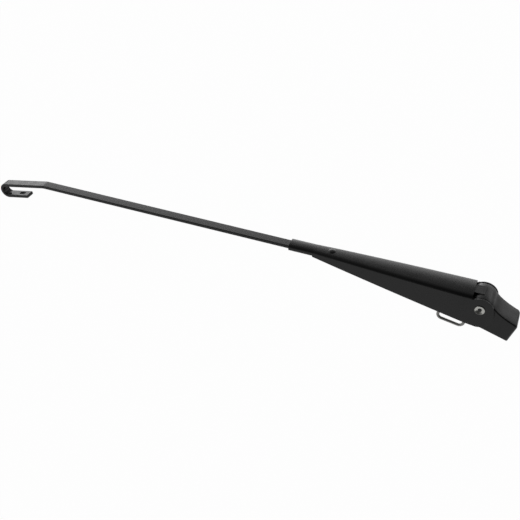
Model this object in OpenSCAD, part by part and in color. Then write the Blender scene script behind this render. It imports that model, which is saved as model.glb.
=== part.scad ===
// Windscreen wiper arm: a cast mounting head, a hinged pressed-steel arm channel, a flat blade rod
// that ends in a hook, and the tension spring and wire link that press the arm to the glass.
// Row frame: origin at the mouth of the spindle bore, +Z up the spindle away from the glass,
// +X from the spindle towards the blade hook. Lengths are millimetres.

/* [Blade rod] */
// Width of the flat bar
rod_w = 9; // [6:0.5:10]
// Thickness of the flat bar
rod_t = 3; // [2.5:0.25:3.5]
// Radius of the bar's rounded long edges
rod_edge_r = 0.6; // [0.3:0.1:0.8]
// Distance from the hinge pin to the bend before the hook
rod_reach = 411.9; // [300:0.1:520]
// Droop of the hook below the line of the rod, in degrees
hook_droop = 11.2; // [0:0.1:20]
// Length of the hook from the bend to its outer end
hook_len = 53.5; // [40:0.1:70]
// Length of the hook's return leg, measured from the hook's outer end
hook_return = 30; // [24:0.1:36]
// Clear gap between the hook's two legs
hook_gap = 8.6; // [6:0.1:11]
// Length of the slot that locks the blade adapter
hook_slot_len = 7; // [4:0.5:9]
// Width of the slot that locks the blade adapter
hook_slot_w = 3.6; // [2:0.1:4.5]
// Distance from the return leg's free end to the slot's middle
hook_slot_at = 8.3; // [6:0.1:12]

/* [Arm channel] */
// Thickness of the pressed sheet
sheet = 1.2; // [0.8:0.1:1.3]
// Distance from the hinge pin to the channel's front end
channel_len = 163.4; // [140:0.1:220]
// Length of the front end that is folded round the rod
crimp_len = 21.6; // [14:0.1:30]
// Height of the rod's top face above the hinge pin
rod_lift = 11.8; // [11:0.1:14]
// Rise of the web's middle above its edges at the hinge
web_crown = 0.8; // [0.2:0.1:1.4]
// Distance from the hinge pin forward to the web's rear edge
web_end = 7.2; // [4:0.1:9]
// Outside bend radius between the web and the walls at the hinge
bend_r = 3.6; // [2:0.1:4]
// Distance from the crimp's rear end back to the rivet that holds rod and spring
rivet_back = 15.3; // [13:0.1:20]
// Radius of the ear's top about the hinge pin
ear_top_r = 10.9; // [10.8:0.1:12]
// Radius of the ear's lower lobe
ear_low_r = 13; // [12:0.1:14]
// Drop of the ear's lower lobe centre below the hinge pin
ear_low_drop = 4.5; // [3:0.1:6]
// Slope of the walls' lower edge, as a share of the length
wall_slope = 0.18; // [0.15:0.01:0.22]

/* [Mounting head] */
// Width of the casting across the hinge
head_w = 21.2; // [18:0.1:24]
// Distance from the spindle axis to the hinge pin
hinge_reach = 19.5; // [18:0.1:24]
// Height of the hinge pin above the head's underside
hinge_h = 17; // [16:0.1:19]
// Distance from the spindle axis back to the head's end face
head_back = 12.8; // [10:0.1:16]
// Height of the head's top face above its underside, at the back
head_h = 18.1; // [16:0.1:20]
// Droop of the arm below the head at rest, in degrees
rest_droop = 17; // [10:0.5:20]
// Radius of the hinge barrel
barrel_r = 10.6; // [10:0.1:10.8]
// Radius of the casting's rounded edges
edge_r = 1.6; // [0.6:0.1:2]
// Radius of the spindle bore
bore_r = 5.5; // [4:0.1:6]
// Depth of the spindle bore from the underside
bore_depth = 12; // [9:0.5:12.5]

/* [Hinge and spring gear] */
// Radius of the hinge pin
pin_r = 3.2; // [2.5:0.1:3.5]
// Radius of the hinge pin's riveted ends
pin_head_r = 4; // [3.6:0.1:4.8]
// Radius of the sunk seat round each end of the hinge pin
seat_r = 6.2; // [5:0.1:7]
// Radius of the link's anchor pin
anchor_r = 1.75; // [1.5:0.05:2]
// Drop of the link's anchor below the hinge pin
anchor_drop = 11.7; // [11.3:0.1:11.9]
// Distance of the link's anchor in front of the hinge pin
anchor_ahead = 0.6; // [0:0.1:1.5]
// Diameter of the link's wire
link_wire = 2.5; // [2.2:0.1:2.6]
// Distance between the middles of the link's two eyes
link_span = 30; // [28:0.5:33]
// Diameter of the spring's wire
spring_wire = 1.8; // [1.4:0.1:1.8]
// Outside diameter of the spring's coil
spring_d = 9; // [7:0.1:9.4]

/* [Hidden] */
$fn = 64;

// Clearances: lap joins pieces that lie face to face, running is for the hinges, ear_play is
// between the head's sides and the ears, crimp_play is between the rod's sides and the crimp's
lap = 0.03;
running = 0.05;
ear_play = 0.15;
crimp_play = 0.5;
// How far a cutting tool runs past a face
past = 1;

black_paint = [0.09, 0.09, 0.095];
bright_zinc = [0.72, 0.72, 0.7];
spring_steel = [0.45, 0.45, 0.46];

// The rod under the web, in the arm's frame: x along the rod, z up, origin on the hinge pin
rod_top = rod_lift;
rod_bottom = rod_top - rod_t;
kink_at = channel_len - crimp_len;
rivet_at = kink_at - rivet_back;
rod_tail = rivet_at - 5.2;
hook_out_r = hook_gap / 2 + rod_t;
rod_bend_r = 14;

// The channel's section
hinge_half = head_w / 2 + ear_play + sheet;
web_top = rod_top + lap + sheet;
crimp_half = rod_w / 2 + crimp_play + sheet;
crimp_low = rod_bottom - lap - sheet;
crimp_bend = sheet + 1;
seam_half = 0.7;
fold_run = 1;
flare_from = 14;
flare_bulge = 0.4;
ear_low = [1.2, -ear_low_drop];
wall_floor = -(ear_low_drop + ear_low_r - 0.2);
wall_kink = crimp_low;
leg_step = 0.9;
seat_depth = 0.45;
// How far the ear plates keep inside the walls' faces that they merge with
shy = 0.01;

// The head, in its own frame: x and z from the hinge pin
head_under = -hinge_h;
head_end = -(hinge_reach + head_back);
head_top = head_under + head_h;
anchor = [anchor_ahead, -anchor_drop];
lug_r = hinge_h - anchor_drop;
link_slot = link_wire + 0.9;
link_room = 1.2;
boss_r = pin_r + 3.4;
heel_r = 3;
slope_from = 130;
slope_turn = [-12.6, head_top + 2.05];
slope_foot = [head_end + 4.1, head_top];
nose_half = 5.2;
nose_ahead = 8.6;
pocket_from = 4.4;
pocket_floor = 5.6;
pocket_to = nose_ahead + 4;
clip_t = 0.8;
clip_wall = 1.1;
clip_len = 7.6;
clip_w = 11;
tongue_w = 6;
tongue_h = 7;

// The spring's line runs from the link's anchor in the head to the post under the rod
anchor_in_arm = [anchor[0] * cos(rest_droop) - anchor[1] * sin(rest_droop),
    anchor[0] * sin(rest_droop) + anchor[1] * cos(rest_droop)];
hook_r = 3.3;
post_r = hook_r - spring_wire / 2 - 0.5;
post_len = spring_wire + 1.6;
flange_r = post_r + 1;
flange_t = 1;
shank_r = post_r - 0.3;
rivet_dome_r = 3.2;
rivet_dome_h = 1.2;
post_mid = rod_bottom - post_len / 2;
front_hook = [rivet_at - 0.4, post_mid];
line_vec = front_hook - anchor_in_arm;
line_len = norm(line_vec);
line_tilt = atan2(line_vec[1], line_vec[0]);
anchor_eye_r = anchor_r + running + link_wire / 2;
spring_eye_r = 3.4;
eye_play = link_wire / 2 + spring_wire / 2 + 2 * running;
rear_hook_s = link_span + spring_eye_r - eye_play + hook_r;
hook_neck = 6.4;
coil_r = (spring_d - spring_wire) / 2;
coil_pitch = spring_wire + 0.1;
coil_from = rear_hook_s + hook_neck;
coil_turns = floor((line_len - hook_neck - 8 - coil_from) / coil_pitch);
coil_steps = 10;

// Points and small maths

function bezier(a, b, c, n) =
    [for (i = [0:n]) let (t = i / n) (1 - t) * (1 - t) * a + 2 * t * (1 - t) * b + t * t * c];

function arc(mid, r, a0, a1, n) =
    [for (i = [0:n]) let (a = a0 + (a1 - a0) * i / n) mid + r * [cos(a), sin(a)]];

function mirrored(points) = [for (i = [len(points) - 1:-1:0]) [-points[i][0], points[i][1]]];

// Moves each corner of a counter-clockwise outline inwards, so that every edge goes in by d
function inset(points, d) =
    let (n = len(points))
    [for (i = [0:n - 1])
        let (
            here = points[i],
            back = here - points[(i + n - 1) % n],
            ahead = points[(i + 1) % n] - here,
            n1 = [-back[1], back[0]] / norm(back),
            n2 = [-ahead[1], ahead[0]] / norm(ahead)
        )
        here + d * (n1 + n2) / (1 + n1 * n2)];

// Joins rings of points into one closed solid, seen counter-clockwise from the last ring's end.
// A ring that is paired runs out along one face of a sheet and back along the other.
module loft(rings, paired = false) {
    n = len(rings[0]);
    last = len(rings) - 1;
    cap = paired
        ? [for (i = [0:n / 2 - 2]) [i, i + 1, n - 2 - i, n - 1 - i]]
        : [[for (j = [0:n - 1]) j]];
    sides = [for (i = [0:last - 1]) for (j = [0:n - 1])
        [(i + 1) * n + j, (i + 1) * n + (j + 1) % n, i * n + (j + 1) % n, i * n + j]];
    end_cap = [for (face = cap) [for (k = [len(face) - 1:-1:0]) last * n + face[k]]];
    polyhedron([for (ring = rings) each ring], concat(cap, sides, end_cap), convexity = 8);
}

// Places a child that is drawn on the x-z plane, centred across the arm's width
module slab(width) {
    rotate([90, 0, 0])
        linear_extrude(height = width, center = true)
            children();
}

// A counter-clockwise x-z outline, drawn out across the arm's width with its long edges rounded
module rounded_slab(outline, width, r, steps, paired = false) {
    flat_half = width / 2 - r;
    near = [for (i = [steps:-1:0]) let (a = 90 * i / steps) [flat_half + r * sin(a), r * (1 - cos(a))]];
    far = [for (i = [0:steps]) [-near[steps - i][0], near[steps - i][1]]];
    loft([for (level = concat(near, far))
        [for (p = inset(outline, level[1])) [p[0], level[0], p[1]]]], paired);
}

// A round bar across the arm, centred on the x-z point given
module crossbar(at, r, length) {
    translate([at[0], 0, at[1]])
        rotate([90, 0, 0])
            cylinder(r = r, h = length, center = true);
}

// Puts a child drawn about the hinge pin in the head's place
module at_hinge() {
    translate([hinge_reach, 0, hinge_h])
        children();
}

// Puts a child drawn in the arm's frame at its rest place
module on_arm() {
    at_hinge()
        rotate([0, rest_droop, 0])
            children();
}

// Mounting head

// The casting's side view, counter-clockwise from its lower rear corner
function head_outline() =
    let (
        lug_x = anchor[0] + lug_r,
        barrel_from = -acos(lug_x / barrel_r),
        slope = bezier(barrel_r * [cos(slope_from), sin(slope_from)], slope_turn, slope_foot, 12)
    )
    concat(
        [[head_end, head_under]],
        arc(anchor, lug_r, -90, 0, 6),
        arc([0, 0], barrel_r, barrel_from, slope_from, 28),
        [for (i = [1:12]) slope[i]],
        arc([head_end + heel_r, head_top - heel_r], heel_r, 90, 180, 6));

module head_casting() {
    rounded_slab(head_outline(), head_w, edge_r, 4);
}

// The nose that the web comes down on
module head_nose() {
    nose_top = web_top - sheet - web_crown * pow(nose_half / web_half, 2) - 2 * running;
    rotate([0, rest_droop, 0])
        translate([-past, -nose_half, 0])
            cube([nose_ahead + past, 2 * nose_half, nose_top]);
}

// The pockets on both sides of the nose
module head_pockets() {
    pocket_w = head_w / 2 - nose_half + past;
    for (side = [0, 1])
        mirror([0, side, 0])
            rotate([0, rest_droop, 0])
                translate([pocket_from, nose_half, pocket_floor])
                    cube([pocket_to, pocket_w, pocket_to]);
}

// The slot that the wire link swings in, leaving the boss round the hinge bore
module link_slot_cut() {
    slab(link_slot)
        difference() {
            translate([anchor[0] - anchor_eye_r - link_wire / 2 - link_room / 2, head_under - past])
                square([2 * lug_r + hinge_h / 2, past + lug_r + anchor_eye_r + link_wire / 2 + link_room]);
            circle(r = boss_r);
        }
}

// The clip lies flat under the head in front of the bore, with a tongue turned up beside the bore.
// Grown by the lap, the same shape is its seat in the casting.
module clip_shape(grow) {
    foot_x = bore_r + clip_wall;
    foot_l = clip_len + grow;
    translate([foot_x - grow, -clip_w / 2 - grow, -past])
        cube([foot_l + grow, clip_w + 2 * grow, past + clip_t + grow]);
    translate([foot_x - grow, -tongue_w / 2 - grow, 0])
        cube([clip_t + 2 * grow, tongue_w + 2 * grow, tongue_h + grow]);
}

module mounting_head() {
    color(black_paint)
        difference() {
            union() {
                at_hinge()
                    head_casting();
                at_hinge()
                    head_nose();
            }
            at_hinge()
                head_pockets();
            at_hinge()
                crossbar([0, 0], pin_r + running, head_w + 2 * past);
            at_hinge()
                crossbar(anchor, anchor_r + lap, head_w + 2 * past);
            at_hinge()
                link_slot_cut();
            translate([0, 0, -past])
                cylinder(r = bore_r, h = bore_depth + past);
            clip_shape(lap);
        }
}

// Spring-steel clip that holds the head down on its spindle
module spindle_clip() {
    color(spring_steel)
        difference() {
            clip_shape(0);
            translate([0, -clip_w, -2 * past])
                cube([3 * clip_w, 2 * clip_w, 2 * past]);
        }
}

// Pin pressed across the head's two cheeks, which the link hangs on
module link_pin() {
    color(bright_zinc)
        at_hinge()
            crossbar(anchor, anchor_r, head_w - 2 * ear_play);
}

// Hinge pin, riveted into the sunk seats of both ears, with a shallow cone sunk in each end
module hinge_pin() {
    seat = hinge_half - seat_depth + lap;
    rim_at = hinge_half + 0.35;
    rim = 0.45;
    cone = 1.2;
    color(bright_zinc)
        on_arm()
            rotate([90, 0, 0])
                rotate_extrude()
                    polygon([[0, cone - rim_at], [pin_head_r - 2 * rim, -rim_at], [pin_head_r - rim, -rim_at],
                        [pin_head_r, rim - rim_at], [pin_head_r, -seat], [pin_r, -seat],
                        [pin_r, seat], [pin_head_r, seat], [pin_head_r, rim_at - rim],
                        [pin_head_r - rim, rim_at], [pin_head_r - 2 * rim, rim_at], [0, rim_at - cone]]);
}

// The cones that sink both ears' outer faces round the pin
module ear_seats() {
    floor_r = pin_head_r + 0.2;
    slope = (seat_r - floor_r) / seat_depth;
    for (side = [0, 1])
        mirror([0, side, 0])
            translate([0, hinge_half - seat_depth, 0])
                rotate([-90, 0, 0])
                    cylinder(r1 = floor_r, r2 = floor_r + slope * (seat_depth + past), h = seat_depth + past);
}

// Arm channel

function flare(x) = (kink_at - x) / (kink_at - flare_from);

// Half of the outside width at x, growing fast at first and easing in to the ears
function half_at(x) =
    x >= kink_at ? crimp_half
    : x <= flare_from ? hinge_half
    : crimp_half + (hinge_half - crimp_half) * flare(x) * (1 + flare_bulge * (1 - flare(x)));

function share_at(x) = (half_at(x) - crimp_half) / (hinge_half - crimp_half);
function bend_at(x) = crimp_bend + (bend_r - crimp_bend) * share_at(x);
function crown_at(x) = web_crown * min(1, max(0, (rod_tail - x) / (rod_tail - flare_from)));
function low_at(x) = max(wall_floor, wall_kink - (kink_at - x) * wall_slope);

// The wall's lower part where the channel is open, and where it is folded under the rod
function wall_points(half, low, inset) =
    [for (i = [0:3]) [half - inset, low + i * leg_step]];

function fold_points(inset) =
    let (r = crimp_bend - inset, mid = [crimp_half - crimp_bend, crimp_low + crimp_bend])
    concat([[seam_half, crimp_low + inset]], arc(mid, r, -90, 0, 2));

// Half of the web's crowned width between its bends, at the hinge
web_lean = atan2(2 * web_crown, hinge_half - bend_r);
web_half = hinge_half - bend_r + bend_r * sin(web_lean);

// The bend and the crowned web, from the wall to the middle
function top_points(x, inset) =
    let (
        half = half_at(x),
        r = bend_at(x),
        lean = atan2(2 * crown_at(x), half - r),
        edge_y = half - r + r * sin(lean),
        edge_z = web_top - crown_at(x),
        mid = [half - r, edge_z - r * cos(lean)],
        reach = half - r + (r - inset) * sin(lean)
    )
    concat(
        arc(mid, r - inset, 0, 90 - lean, 5),
        [for (i = [3:-1:1]) let (y = reach * i / 4)
            [y, web_top - inset - crown_at(x) * pow(y / edge_y, 2)]]);

function half_section(x, inset, folded) =
    concat(
        folded ? fold_points(inset) : wall_points(half_at(x), low_at(x), inset),
        top_points(x, inset));

function section(x, folded) =
    let (outer = half_section(x, 0, folded), inner = half_section(x, sheet, folded))
    concat(
        outer, [[0, web_top]], mirrored(outer),
        [for (i = [0:len(inner) - 1]) [-inner[i][0], inner[i][1]]],
        [[0, web_top - sheet]],
        [for (i = [len(inner) - 1:-1:0]) inner[i]]);

channel_stations = concat(
    [web_end, flare_from],
    [for (i = [1:11]) flare_from + (kink_at - flare_from) * i / 12],
    [kink_at]);

module channel_shell() {
    loft(concat(
        [for (x = channel_stations) [for (p = section(x, false)) [x, p[0], p[1]]]],
        [for (x = [kink_at + fold_run, channel_len]) [for (p = section(x, true)) [x, p[0], p[1]]]]),
        paired = true);
}

// One ear: the top lobe about the pin, the lower lobe, and the wall between them
module ear_outline() {
    plate_to = flare_from - ear_play;
    tall = 4 * ear_low_r;
    difference() {
        union() {
            circle(r = ear_top_r);
            translate(ear_low)
                circle(r = ear_low_r);
            polygon([[web_end, ear_top_r * 0.7], [plate_to, ear_top_r * 0.5],
                [plate_to, wall_floor + shy], [ear_low[0], wall_floor + shy], ear_low]);
        }
        translate([plate_to, -tall / 2])
            square(tall);
    }
}

module arm_channel() {
    ear_t = sheet - 2 * shy;
    color(black_paint)
        on_arm()
            difference() {
                union() {
                    channel_shell();
                    for (side = [0, 1])
                        mirror([0, side, 0])
                            translate([0, hinge_half - sheet / 2, 0])
                                slab(ear_t)
                                    ear_outline();
                }
                crossbar([0, 0], pin_r + lap, 2 * (hinge_half + past));
                ear_seats();
                translate([rivet_at, 0, rod_top - past])
                    cylinder(r = shank_r + lap, h = sheet + lap + 2 * past);
            }
}

// Blade rod

// A point of the hook, turned into the rod's frame; the hook's own x axis runs along its upper leg
function from_hook(p) =
    [rod_reach, 0] + [p[0] * cos(hook_droop) + p[1] * sin(hook_droop),
        -p[0] * sin(hook_droop) + p[1] * cos(hook_droop)];

// Side view of the whole bar, with its top face on z = 0: out along the underside, round the
// inside of the hook, back round its outside and along the top
function rod_outline() =
    let (
        turn_back = rod_bend_r * tan(hook_droop / 2),
        bend_mid = [rod_reach - turn_back, -rod_bend_r],
        loop_mid = [hook_len - hook_out_r, -hook_out_r],
        free_end = hook_len - hook_return
    )
    concat(
        [[rod_tail, -rod_t]],
        arc(bend_mid, rod_bend_r - rod_t, 90, 90 - hook_droop, 5),
        [for (p = arc(loop_mid, hook_out_r - rod_t, 90, -90, 24)) from_hook(p)],
        [from_hook([free_end, rod_t - 2 * hook_out_r]), from_hook([free_end, -2 * hook_out_r])],
        [for (p = arc(loop_mid, hook_out_r, -90, 90, 24)) from_hook(p)],
        arc(bend_mid, rod_bend_r, 90 - hook_droop, 90, 5),
        [[rod_tail, 0]]);

module blade_rod() {
    color(black_paint)
        on_arm()
            translate([0, 0, rod_top])
                difference() {
                    rounded_slab(rod_outline(), rod_w, rod_edge_r, 3, paired = true);
                    translate([rod_reach, 0, 0])
                        rotate([0, hook_droop, 0])
                            translate([hook_len - hook_return + hook_slot_at, 0, -2 * hook_out_r])
                                cube([hook_slot_len, hook_slot_w, 4 * rod_t], center = true);
                    translate([rivet_at, 0, -rod_t - past])
                        cylinder(r = shank_r + lap, h = rod_t + 2 * past);
                }
}

// Rivet through web and rod, with a flanged post below for the spring's front hook
module rod_rivet() {
    post_low = rod_bottom - lap - post_len;
    dome_low = web_top + lap;
    color(black_paint)
        on_arm()
            translate([rivet_at, 0, 0])
                rotate_extrude()
                    polygon(concat(
                        [[0, post_low - flange_t], [flange_r, post_low - flange_t], [flange_r, post_low]],
                        [[post_r, post_low], [post_r, rod_bottom - lap], [shank_r, rod_bottom - lap]],
                        [[shank_r, dome_low], [rivet_dome_r, dome_low]],
                        [for (i = [1:6]) let (a = 90 * i / 6)
                            [rivet_dome_r * cos(a), dome_low + rivet_dome_h * sin(a)]]));
}

// Wire link, a C that passes under the hinge barrel

function on_line(s) = anchor_in_arm + s * [cos(line_tilt), sin(line_tilt)];

link_eye = on_line(link_span);
link_heel = [11.4, -30.7];
link_toe = [32.6, -26.9];
link_corner_r = 4;

// The round stretch between two straight runs that would meet at corner
function rounded(before, corner, after, r, n) =
    let (
        in_dir = (corner - before) / norm(corner - before),
        out_dir = (after - corner) / norm(after - corner),
        turn = acos(in_dir * out_dir),
        side = in_dir[0] * out_dir[1] - in_dir[1] * out_dir[0] > 0 ? 1 : -1,
        start = corner - r * tan(turn / 2) * in_dir,
        mid = start + side * r * [-in_dir[1], in_dir[0]],
        from = atan2(start[1] - mid[1], start[0] - mid[0])
    )
    arc(mid, r, from, from + side * turn, n);

// From the open end of the anchor eye, down and round under the barrel, up to the spring's eye
link_path =
    let (
        root = anchor_in_arm + [anchor_eye_r, 0],
        tip = link_eye - [spring_eye_r, 0]
    )
    concat(
        arc(anchor_in_arm, anchor_eye_r, 284, 0, 18),
        rounded(root, link_heel, link_toe, link_corner_r, 6),
        rounded(link_heel, link_toe, tip, link_corner_r, 6),
        arc(link_eye, spring_eye_r, 180, -92, 17));

module spring_link() {
    color(bright_zinc)
        on_arm()
            sweep_wire([for (p = link_path) [p[0], 0, p[1]]], link_wire, 12);
}

// Tension spring, drawn along +X from the link's anchor

function coil_point(x, a) = [x, coil_r * cos(a), coil_r * sin(a)];

// A quarter turn that leads from the straight neck into the coil, or out of it when reversed
function lead_in(x, run) =
    [for (j = [0:3]) coil_point(x - run * (1 - j / 4), 90 * pow(j / 4, 2))];

coil_lead = 4;
coil_span = coil_turns - 0.5;
coil_to = coil_from + coil_span * coil_pitch;
spring_path = concat(
    [for (a = [-45:-15:-270]) [rear_hook_s + hook_r * cos(a), hook_r * sin(a), 0]],
    lead_in(coil_from, coil_lead),
    [for (i = [0:coil_span * coil_steps])
        coil_point(coil_from + coil_pitch * i / coil_steps, 90 + 360 * i / coil_steps)],
    [for (j = [1:4]) coil_point(coil_to + coil_lead * j / 4, -90 * pow(1 - j / 4, 2))],
    [for (a = [90:-15:-135]) [line_len + hook_r * cos(a), hook_r * sin(a), 0]]);

// Slides a ring of points along a straight run, on to the plane that halves the next corner
function mitred(ring, dir, at, normal) =
    [for (p = ring) p + dir * ((at - p) * normal) / (dir * normal)];

// A wire along a path, with flat faces that run from corner to corner
module sweep_wire(path, wire, sides) {
    last = len(path) - 1;
    dirs = [for (i = [0:last - 1]) let (v = path[i + 1] - path[i]) v / norm(v)];
    up = cross(dirs[0], cross([0, 0, 1], dirs[0]));
    ref = up / norm(up);
    first = [for (j = [0:sides - 1]) let (a = 360 * j / sides)
        path[0] + wire / 2 * (cos(a) * ref + sin(a) * cross(dirs[0], ref))];
    loft([for (i = 0, ring = first; i <= last; i = i + 1,
        ring = i > last ? ring
            : mitred(ring, dirs[i - 1], path[i], i < last ? dirs[i - 1] + dirs[i] : dirs[i - 1])) ring]);
}

module tension_spring() {
    color(spring_steel)
        on_arm()
            translate([anchor_in_arm[0], 0, anchor_in_arm[1]])
                rotate([0, -line_tilt, 0])
                    sweep_wire(spring_path, spring_wire, 6);
}

mounting_head();
spindle_clip();
link_pin();
hinge_pin();
arm_channel();
blade_rod();
rod_rivet();
tension_spring();
spring_link();
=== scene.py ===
"""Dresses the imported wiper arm: painted casting, pressed channel, flat rod, spring and wire link.

Sizes are in millimetres, in the maker's own frames: x and z are measured from the hinge pin, along
and square to the head or the rod, and y runs across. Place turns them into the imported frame's metres.
"""

from __future__ import annotations

import logging
import math
from collections.abc import Sequence
from dataclasses import dataclass
from enum import Enum
from functools import cache

import bmesh
import bpy
from mathutils import Matrix, Vector


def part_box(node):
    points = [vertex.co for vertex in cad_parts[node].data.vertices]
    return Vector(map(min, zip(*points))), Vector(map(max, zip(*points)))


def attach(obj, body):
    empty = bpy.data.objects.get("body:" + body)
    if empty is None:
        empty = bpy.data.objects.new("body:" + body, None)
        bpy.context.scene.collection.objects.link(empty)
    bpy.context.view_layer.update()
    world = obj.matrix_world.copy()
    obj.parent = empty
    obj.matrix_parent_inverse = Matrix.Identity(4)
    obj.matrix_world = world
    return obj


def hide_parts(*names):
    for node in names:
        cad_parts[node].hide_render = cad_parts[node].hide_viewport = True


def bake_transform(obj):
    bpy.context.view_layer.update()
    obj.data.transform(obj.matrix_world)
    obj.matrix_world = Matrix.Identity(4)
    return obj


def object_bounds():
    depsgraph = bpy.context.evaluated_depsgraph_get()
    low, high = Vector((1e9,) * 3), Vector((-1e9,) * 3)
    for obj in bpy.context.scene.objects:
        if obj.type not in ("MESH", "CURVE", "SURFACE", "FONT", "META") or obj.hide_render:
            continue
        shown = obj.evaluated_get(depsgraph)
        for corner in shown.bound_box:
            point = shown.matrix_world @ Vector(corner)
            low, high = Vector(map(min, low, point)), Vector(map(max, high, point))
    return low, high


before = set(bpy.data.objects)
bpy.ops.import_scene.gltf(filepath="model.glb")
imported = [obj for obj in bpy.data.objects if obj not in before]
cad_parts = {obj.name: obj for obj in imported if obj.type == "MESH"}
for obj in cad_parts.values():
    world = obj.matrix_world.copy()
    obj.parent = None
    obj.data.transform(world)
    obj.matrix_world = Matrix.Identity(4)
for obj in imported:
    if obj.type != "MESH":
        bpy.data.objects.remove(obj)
CAD_BOX = [list(corner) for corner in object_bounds()]

MM = 0.001
SAME_POINT = 1e-7
LOG = logging.getLogger("wiper_arm")

Flat = tuple[float, float]
Point = tuple[float, float, float]
Piece = bpy.types.Object
Finish = bpy.types.Material
Socket = bpy.types.NodeSocket


class Slot(Enum):
    """The record's material slots."""

    PAINT = "black_paint"
    CASTING = "black_casting"
    ZINC = "bright_zinc"
    SPRING = "spring_steel"


class Carve(Enum):
    """What a tool body does to the piece that it meets."""

    CUT = "DIFFERENCE"
    JOIN = "UNION"


class Axis(Enum):
    """What a turned body turns about."""

    ACROSS = "y"
    UPRIGHT = "z"


@dataclass(frozen=True)
class Place:
    """Where a maker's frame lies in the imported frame."""

    x: float = 0.0
    z: float = 0.0
    droop: float = 0.0

    def metres(self, point: Sequence[float]) -> Vector:
        """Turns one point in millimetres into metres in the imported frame.

        Args:
            point: x, y and z in this frame.

        Returns:
            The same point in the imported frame.
        """
        c, s = math.cos(math.radians(self.droop)), math.sin(math.radians(self.droop))
        px, py, pz = point
        return Vector((self.x + px * c + pz * s, py, self.z - px * s + pz * c)) * MM

    def leaned(self, point: Flat) -> Flat:
        """Turns a side view's point from the level frame at the same place into this one.

        Args:
            point: x and z in the level frame.

        Returns:
            The same point in this frame.
        """
        c, s = math.cos(math.radians(self.droop)), math.sin(math.radians(self.droop))
        return point[0] * c - point[1] * s, point[0] * s + point[1] * c


ROW = Place()
HEAD = Place(19.5, 17.0)
ARM = Place(HEAD.x, HEAD.z, 17.0)

# Sizes that sub-assemblies share. EAR_HALF is half of the width over the ears, and ANCHOR the place
# of the link's anchor pin in the head's frame.
EAR_HALF = 11.95
WEB_TOP = 13.03
ROD_TOP = 11.8
ROD_THICK = 3.0
ROD_TAIL = 121.3
ANCHOR = (0.6, -11.7)


def arc(mid: Flat, radius: float, start: float, end: float, steps: int) -> list[Flat]:
    """Points on an arc.

    Args:
        mid: centre of the arc.
        radius: its radius.
        start: first angle in degrees.
        end: last angle in degrees.
        steps: number of chords.

    Returns:
        steps + 1 points.
    """
    turns = [math.radians(start + (end - start) * i / steps) for i in range(steps + 1)]
    return [(mid[0] + radius * math.cos(a), mid[1] + radius * math.sin(a)) for a in turns]


def inset(points: Sequence[Flat], depth: float) -> list[Flat]:
    """Moves each corner of a counter-clockwise outline inwards.

    Args:
        points: the outline.
        depth: how far each edge goes in.

    Returns:
        The smaller outline, with as many points.
    """
    moved = []
    for i, here in enumerate(points):
        back, ahead = points[i - 1], points[(i + 1) % len(points)]
        first = Vector((here[0] - back[0], here[1] - back[1])).normalized()
        second = Vector((ahead[0] - here[0], ahead[1] - here[1])).normalized()
        n1, n2 = Vector((-first.y, first.x)), Vector((-second.y, second.x))
        shift = (n1 + n2) * (depth / (1 + n1.dot(n2)))
        moved.append((here[0] + shift.x, here[1] + shift.y))
    return moved


def clamp(share: float) -> float:
    """Keeps a share between 0 and 1."""
    return min(1.0, max(0.0, share))


def corner_depth(y: float, half: float, radius: float) -> float:
    """How far a rounded corner lies inside the flat that it ends.

    Args:
        y: the place across the width.
        half: half of the width.
        radius: the corner's radius.

    Returns:
        The depth, 0 away from the corner.
    """
    into = max(0.0, abs(y) - (half - radius))
    return radius - math.sqrt(max(0.0, radius ** 2 - into ** 2))


class Skin:
    """Collects rings of points and turns them into a mesh object."""

    def __init__(self, place: Place) -> None:
        """Starts an empty skin.

        Args:
            place: the frame that its points are given in.
        """
        self.place = place
        self.points: list[Point] = []
        self.faces: list[list[int]] = []

    def ring(self, points: Sequence[Point]) -> list[int]:
        """Adds points.

        Args:
            points: the ring, in order.

        Returns:
            The numbers of the new points.
        """
        first = len(self.points)
        self.points.extend(points)
        return list(range(first, len(self.points)))

    def bridge(self, a: Sequence[int], b: Sequence[int], closed: bool = True) -> None:
        """Joins two rings with four-sided faces.

        Args:
            a: one ring.
            b: the other, with as many points.
            closed: whether the last point joins the first.
        """
        for i in range(len(a) if closed else len(a) - 1):
            j = (i + 1) % len(a)
            self.faces.append([a[i], a[j], b[j], b[i]])

    def loft(self, rings: Sequence[Sequence[Point]]) -> None:
        """Joins a row of rings into one closed body.

        Args:
            rings: the rings, each with as many points.
        """
        made = [self.ring(ring) for ring in rings]
        for a, b in zip(made, made[1:]):
            self.bridge(a, b)
        self.faces.append(list(made[0]))
        self.faces.append(list(made[-1]))

    def piece(self, name: str = "tool") -> Piece:
        """Makes the mesh object, with its faces turned outwards.

        Args:
            name: the piece's name, left out for a body that only cuts or joins.

        Returns:
            The new object, linked to the scene.
        """
        mesh = bpy.data.meshes.new(name)
        mesh.from_pydata([self.place.metres(p) for p in self.points], [], self.faces)
        made = bmesh.new()
        made.from_mesh(mesh)
        bmesh.ops.remove_doubles(made, verts=made.verts, dist=SAME_POINT)
        bmesh.ops.recalc_face_normals(made, faces=made.faces)
        made.to_mesh(mesh)
        made.free()
        piece = bpy.data.objects.new(name, mesh)
        bpy.context.scene.collection.objects.link(piece)
        return piece


def settle(piece: Piece) -> None:
    """Applies a piece's modifiers to its mesh.

    Args:
        piece: the piece.
    """
    bpy.context.view_layer.update()
    solved = piece.evaluated_get(bpy.context.evaluated_depsgraph_get())
    mesh = bpy.data.meshes.new_from_object(solved)
    piece.modifiers.clear()
    piece.data = mesh


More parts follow.
